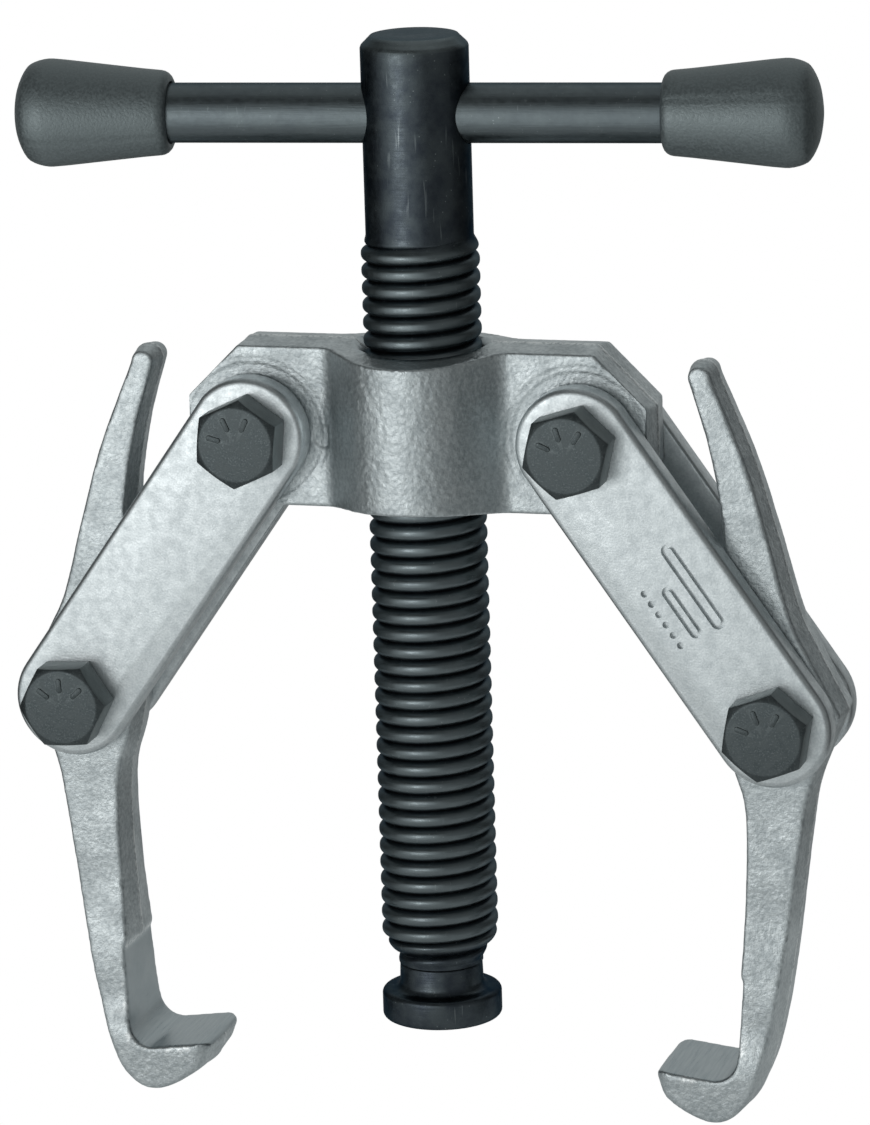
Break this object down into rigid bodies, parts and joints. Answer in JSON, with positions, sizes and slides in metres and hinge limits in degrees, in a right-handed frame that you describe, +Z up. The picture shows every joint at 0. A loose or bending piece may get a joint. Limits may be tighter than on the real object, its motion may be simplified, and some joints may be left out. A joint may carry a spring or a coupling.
{
  "type": "gear puller",
  "caption": "Puller with swinging hooked arms on bolted links, a drilled yoke, and a threaded spindle turned by a sliding T-bar.",
  "frame": {"origin": "centre of the thrust pad's bottom face, on the spindle axis, with the spindle where the row is stored", "axes": "+Z up the spindle axis towards the T-bar, X across the two arms, -Y the front, where the bolt heads are"},
  "size_m": [0.086, 0.0235, 0.1098],
  "materials": {
    "forged_zinc": "shot-blasted and zinc-plated forged steel, satin",
    "link_zinc": "zinc-plated stamped steel, satin",
    "black_oxide": "oiled black oxide on machined steel",
    "bolt_phosphate": "dark grey phosphated steel",
    "spring_steel": "oiled spring steel",
    "knob_plastic": "fine textured moulded plastic",
    "insert_nylon": "natural nylon"
  },
  "bodies": {
    "yoke": {"yoke": "forged_zinc"},
    "thrust_pad": {"thrust_pad": "black_oxide", "pad_snap_ring": "spring_steel"},
    "spindle": {"spindle": "black_oxide"},
    "tommy_bar": {"tommy_bar": "black_oxide", "left_knob": "knob_plastic", "right_knob": "knob_plastic"},
    "left_links": {"left_front_link": "link_zinc", "left_rear_link": "link_zinc", "left_upper_bolt": "bolt_phosphate", "left_upper_nut": "bolt_phosphate", "left_upper_nut_insert": "insert_nylon", "left_lower_bolt": "bolt_phosphate", "left_lower_nut": "bolt_phosphate", "left_lower_nut_insert": "insert_nylon"},
    "left_arm": {"left_arm": "forged_zinc"},
    "right_links": {"right_front_link": "link_zinc", "right_rear_link": "link_zinc", "right_upper_bolt": "bolt_phosphate", "right_upper_nut": "bolt_phosphate", "right_upper_nut_insert": "insert_nylon", "right_lower_bolt": "bolt_phosphate", "right_lower_nut": "bolt_phosphate", "right_lower_nut_insert": "insert_nylon"},
    "right_arm": {"right_arm": "forged_zinc"}
  },
  "joints": [
    {"name": "spindle_feed", "type": "slide", "parent": "yoke", "child": "thrust_pad", "axis": [0, 0, 1], "range_m": [-0.00352, 0.04202]},
    {"name": "spindle_turn", "type": "hinge", "parent": "thrust_pad", "child": "spindle", "pos_m": [0, 0, 0.0933], "axis": [0, 0, 1], "range_deg": [-720, 8640]},
    {"name": "tommy_bar_slide", "type": "slide", "parent": "spindle", "child": "tommy_bar", "axis": [0.9945, 0.1045, 0], "range_m": [-0.0191, 0.0191]},
    {"name": "left_link_swing", "type": "hinge", "parent": "yoke", "child": "left_links", "pos_m": [-0.0169, 0, 0.0613], "axis": [0, 1, 0], "range_deg": [-5, 35]},
    {"name": "left_arm_swing", "type": "hinge", "parent": "left_links", "child": "left_arm", "pos_m": [-0.0364, 0, 0.03345], "axis": [0, -1, 0], "range_deg": [-5, 18]},
    {"name": "right_link_swing", "type": "hinge", "parent": "yoke", "child": "right_links", "pos_m": [0.0169, 0, 0.0613], "axis": [0, -1, 0], "range_deg": [-5, 35]},
    {"name": "right_arm_swing", "type": "hinge", "parent": "right_links", "child": "right_arm", "pos_m": [0.0364, 0, 0.03345], "axis": [0, 1, 0], "range_deg": [-5, 18]}
  ],
  "couplings": [
    {"joint": "spindle_feed", "follows": "spindle_turn", "m_per_rad": 0.00027852}
  ]
}
